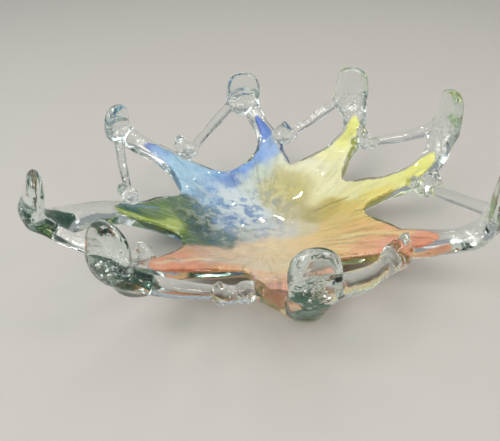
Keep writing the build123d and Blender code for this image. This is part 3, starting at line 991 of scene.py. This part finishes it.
# where the hot glass was pinched and pressed, for the finer marks
mark = np.zeros(len(verts), np.float32)
for name in ARMS:
    c, tan, axis, rad, w, t, h = paddle_frame(name)
    p = c - axis * h * 0.55
    d = np.linalg.norm((verts - p) / [1, 1, 0.8], axis=1)
    mark = np.maximum(mark, np.clip(1.5 - d / 13, 0, 1))
for name, spec in WELDS.items():
    d = np.linalg.norm(verts - np.array(spec["c"]), axis=1)
    mark = np.maximum(mark, np.clip(1.6 - d / 11, 0, 1))
attr = body.data.attributes.new("worked", "FLOAT", "POINT")
attr.data.foreach_set("value", mark.astype(np.float32))
body.data.materials.append(glass_material(
    "clear_glass", (0.60, 0.80, 0.70), 9.0, (0.90, 0.92, 0.91)))
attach(body, "root")
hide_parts("foot_pad", "well_casing",
            *["arm_" + a for a in ARMS], *["paddle_" + a for a in ARMS],
            *["weld_" + a for a in ARMS], *["bridge_" + a for a in ARMS])

# ------------------------------------------------------------------ inclusions
def ball(level):
    bpy.ops.mesh.primitive_ico_sphere_add(subdivisions=level, radius=1.0)
    ob = bpy.context.object
    v = np.array([p.co[:] for p in ob.data.vertices])
    f = np.array([p.vertices[:] for p in ob.data.polygons])
    bpy.data.objects.remove(ob, do_unlink=True)
    return v, f


def field_at(p):
    i = np.round((p - LO) / STEP).astype(int)
    i = np.clip(i, 0, np.array(FIELD.shape) - 1)
    return FIELD[tuple(i.T)]


# seed bubbles caught where the paddles were pressed and the ends folded over
rng = np.random.default_rng(41)
spots = []
for name, n in (("left", 14), ("back_left", 60), ("back", 55), ("back_right", 60),
                ("right_back", 40), ("right", 34), ("front", 40),
                ("front_left", 70)):
    c, tan, axis, rad, w, t, h = paddle_frame(name)
    base = c - axis * h * 0.62
    for k in range(n):
        p = base + tan * rng.uniform(-0.8, 0.8) * w \
            + axis * rng.normal(0, 0.22) * h + rad * rng.uniform(-0.6, 0.6) * t
        spots.append((p, 0.45 + 1.0 * rng.random() ** 3))
for name, spec in WELDS.items():
    for k in range(16):
        p = np.array(spec["c"], float) + rng.normal(0, 5.0, 3)
        spots.append((p, 0.4 + 0.8 * rng.random() ** 3))
centre = np.array([p for p, r in spots])
radius = np.array([r for p, r in spots])
inside = field_at(centre) < -(radius + 1.3)
centre, radius = centre[inside], radius[inside]
bv, bf = ball(2)
sq = rng.uniform(0.75, 1.25, (len(centre), 3))
allv = (centre[:, None] + bv[None] * (radius[:, None] * sq)[:, None]).reshape(-1, 3)
allf = (bf[None, :, ::-1] + (np.arange(len(centre)) * len(bv))[:, None, None])
seeds = mesh_object("seed_bubbles", allv * MM, allf.reshape(-1, 3))
m, nt = new_material("bubble_wall")
o_ = node(nt, "ShaderNodeOutputMaterial")
b_ = node(nt, "ShaderNodeBsdfPrincipled")
b_.inputs["Base Color"].default_value = (1, 1, 1, 1)
b_.inputs["Transmission Weight"].default_value = 1.0
b_.inputs["Roughness"].default_value = 0.0
b_.inputs["IOR"].default_value = 1.5
grain = node(nt, "ShaderNodeTexNoise")
grain.inputs["Scale"].default_value = 900.0
gc = node(nt, "ShaderNodeTexCoord")
nt.links.new(gc.outputs["Object"], grain.inputs["Vector"])
gb = node(nt, "ShaderNodeBump")
gb.inputs["Strength"].default_value = 0.5
gb.inputs["Distance"].default_value = 0.0002
nt.links.new(grain.outputs["Fac"], gb.inputs["Height"])
nt.links.new(gb.outputs["Normal"], b_.inputs["Normal"])
nt.links.new(b_.outputs[0], o_.inputs["Surface"])
seeds.data.materials.append(m)
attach(seeds, "root")


# dark green glass marbled into the thick bends of three arms
def marbling(name, rows):
    """A closed flattened cord of coloured glass: x, y, z, radii."""
    rows = smooth_curve(np.array(rows, float), 7)
    nring = 22
    verts_ = []
    for i, row in enumerate(rows):
        t = unit(rows[min(i + 1, len(rows) - 1), :3] - rows[max(i - 1, 0), :3])
        u = unit(np.cross(t, [0, 0, 1.0]))
        v = np.cross(t, u)
        a = np.linspace(0, 2 * np.pi, nring, endpoint=False)
        wob = 1 + 0.16 * noise3(np.cos(a) * 1.3 + i * 0.35, np.sin(a) * 1.3 + 4,
                                a * 0 + i * 0.22)
        verts_.append(row[:3] + (np.cos(a) * row[3] * wob)[:, None] * u
                      + (np.sin(a) * row[4] * wob)[:, None] * v)
    vv = np.vstack(verts_)
    k = np.arange(nring)
    quads = [np.stack([i * nring + k, i * nring + (k + 1) % nring,
                       (i + 1) * nring + (k + 1) % nring, (i + 1) * nring + k], 1)
             for i in range(len(rows) - 1)]
    me = bpy.data.meshes.new(name)
    faces_ = [tuple(int(c) for c in q) for q in np.vstack(quads)]
    faces_.append(tuple(int(c) for c in k[::-1]))
    faces_.append(tuple(int(c) for c in k + (len(rows) - 1) * nring))
    me.from_pydata([tuple(p) for p in vv * MM], [], faces_)
    me.polygons.foreach_set("use_smooth", [True] * len(me.polygons))
    me.update()
    ob = bpy.data.objects.new(name, me)
    bpy.context.scene.collection.objects.link(ob)
    ob.data.materials.append(MARBLE)
    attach(ob, "root")
    return ob


MARBLE, nt = new_material("green_marbling")
o_ = node(nt, "ShaderNodeOutputMaterial")
gc = node(nt, "ShaderNodeTexCoord")
swirl = node(nt, "ShaderNodeTexNoise")
swirl.inputs["Scale"].default_value = 48.0
swirl.inputs["Detail"].default_value = 3.0
swirl.inputs["Distortion"].default_value = 0.9
nt.links.new(gc.outputs["Object"], swirl.inputs["Vector"])
pass_ = node(nt, "ShaderNodeBsdfTransparent")
pass_.inputs["Color"].default_value = (0.40, 0.56, 0.50, 1)
body_ = node(nt, "ShaderNodeBsdfPrincipled")
body_.inputs["Roughness"].default_value = 0.35
base_ = node(nt, "ShaderNodeMix", data_type="RGBA", blend_type="MIX")
base_.inputs[6].default_value = (0.012, 0.050, 0.038, 1)
base_.inputs[7].default_value = (0.10, 0.19, 0.14, 1)
nt.links.new(ramp(nt, swirl.outputs["Fac"], 0.52, 0.62, 0.0, 1.0),
             base_.inputs["Factor"])
nt.links.new(base_.outputs[2], body_.inputs["Base Color"])
mx = node(nt, "ShaderNodeMixShader")
# thin at its rim, so that it melts into the clear glass
rim = node(nt, "ShaderNodeLayerWeight")
rim.inputs["Blend"].default_value = 0.5
deep = ramp(nt, rim.outputs["Facing"], 0.30, 0.85, 1.0, 0.0)
nt.links.new(times(nt, ramp(nt, swirl.outputs["Fac"], 0.40, 0.60, 0.10, 0.85),
                   deep), mx.inputs["Fac"])
veil = node(nt, "ShaderNodeMix", data_type="RGBA", blend_type="MIX")
veil.inputs[6].default_value = (1, 1, 1, 1)
veil.inputs[7].default_value = (0.36, 0.54, 0.47, 1)
nt.links.new(deep, veil.inputs["Factor"])
nt.links.new(veil.outputs[2], pass_.inputs["Color"])
nt.links.new(body_.outputs[0], mx.inputs[2])
nt.links.new(pass_.outputs[0], mx.inputs[1])
nt.links.new(mx.outputs[0], o_.inputs["Surface"])
marbling("marbling_front_left", [(-94, -130, 55, 2.5, 1.5), (-98, -138, 57, 7, 3.5),
                                 (-104, -149, 64, 11, 6), (-109, -157, 73, 12, 6),
                                 (-112, -161, 82, 7, 4)])
marbling("marbling_left", [(-172, -58, 63, 2, 1.5), (-177, -65, 66, 5.5, 4),
                           (-182, -71, 70, 7, 5), (-187, -78, 76, 6.5, 4.5),
                           (-190, -82, 85, 3, 2.5)])
marbling("marbling_front", [(18, -166, 60, 3, 2), (20, -173, 63, 8, 4.0),
                            (22, -181, 69, 9, 5), (22, -187, 77, 5, 3.5)])

# ------------------------------------------------------------------ studio
def stage_floor():
    bpy.ops.mesh.primitive_plane_add(size=9.0, location=(0, 1.2, 0))
    ob = bpy.context.object
    ob.name = "studio_floor"
    m, nt = new_material("studio_floor")
    out = node(nt, "ShaderNodeOutputMaterial")
    bsdf = node(nt, "ShaderNodeBsdfPrincipled")
    bsdf.inputs["Base Color"].default_value = (0.46, 0.445, 0.42, 1)
    bsdf.inputs["Roughness"].default_value = 0.75
    bsdf.inputs["Specular IOR Level"].default_value = 0.2
    nt.links.new(bsdf.outputs[0], out.inputs["Surface"])
    ob.data.materials.append(m)
    return ob


stage_floor()


def area(name, loc, target, size, energy, colour, size_y=None):
    light = bpy.data.lights.new(name, "AREA")
    light.energy = energy
    light.color = colour
    light.size = size
    if size_y:
        light.shape = "RECTANGLE"
        light.size_y = size_y
    ob = bpy.data.objects.new(name, light)
    bpy.context.scene.collection.objects.link(ob)
    ob.location = loc
    d = Vector(target) - Vector(loc)
    ob.rotation_euler = d.to_track_quat("-Z", "Y").to_euler()
    return ob


area("softbox_key", (-0.65, -0.80, 1.30), (0, 0, 0.04), 0.60, 6.5, (1.0, 0.97, 0.93), 0.35)
area("softbox_front", (0.95, -0.55, 1.05), (0, 0, 0.05), 0.5, 4, (1.0, 0.96, 0.92), 0.3)
area("softbox_top", (0.05, 0.35, 1.70), (0, 0, 0.03), 1.5, 5, (1.0, 0.98, 0.96), 1.1)
area("window_left", (-1.3, -0.25, 0.75), (0, 0, 0.05), 0.30, 4, (0.80, 0.90, 1.0), 0.5)
# one broad even light, so that the floor stays pale out to the horizon
sun = bpy.data.lights.new("broad_light", "SUN")
sun.energy = 1.15
sun.angle = math.radians(38)
sun.color = (1.0, 0.98, 0.95)
sun_ob = bpy.data.objects.new("broad_light", sun)
bpy.context.scene.collection.objects.link(sun_ob)
sun_ob.rotation_euler = Vector((0.42, 0.50, -0.80)).to_track_quat(
    "-Z", "Y").to_euler()

# small lamps of a lit room, for the points of light on the glass
LAMPS = [(0.55, 0.30, 1.30), (-0.35, -0.15, 1.40), (0.75, 1.00, 0.95),
         (-0.80, 0.90, 1.00), (0.10, -0.60, 1.50), (0.35, 0.85, 1.30),
         (-0.30, 0.70, 1.45), (0.95, 0.10, 1.05), (-0.95, 0.25, 1.15),
         (0.00, 1.30, 0.95), (-0.45, -1.00, 0.95), (0.50, -0.95, 1.10)]
for i, place in enumerate(LAMPS):
    area("lamp_%d" % i, place, (0, 0, 0.05), 0.032, 0.55, (1.0, 0.91, 0.78))

world = bpy.data.worlds.new("studio")
bpy.context.scene.world = world
world.use_nodes = True
bg = world.node_tree.nodes.get("Background") or world.node_tree.nodes.new(
    "ShaderNodeBackground")
bg.inputs["Color"].default_value = (0.74, 0.76, 0.80, 1)
bg.inputs["Strength"].default_value = 0.42

scene = bpy.context.scene
scene.view_settings.view_transform = "Standard"
scene.view_settings.look = "None"
scene.view_settings.exposure = 0.0
cy = scene.cycles
cy.max_bounces = 20
cy.transmission_bounces = 20
cy.transparent_max_bounces = 24
cy.glossy_bounces = 8
cy.diffuse_bounces = 4
cy.caustics_reflective = False
cy.caustics_refractive = False
cy.blur_glossy = 0.4

# ------------------------------------------------------------------ camera
ELEV, DIST, FOCAL = math.radians(31.5), 600.0, 618.0
aim = np.array([-18.0, 0.0, 27.0])
forward = np.array([0, math.cos(ELEV), -math.sin(ELEV)])
cam_data = bpy.data.cameras.new("camera")
cam_data.sensor_width = 36.0
cam_data.lens = FOCAL / 500.0 * 36.0
cam_data.clip_start = 0.01
cam = bpy.data.objects.new("camera", cam_data)
scene.collection.objects.link(cam)
cam.location = Vector((aim - forward * DIST) * MM)
cam.rotation_euler = Vector(forward).to_track_quat("-Z", "Y").to_euler()
scene.camera = cam
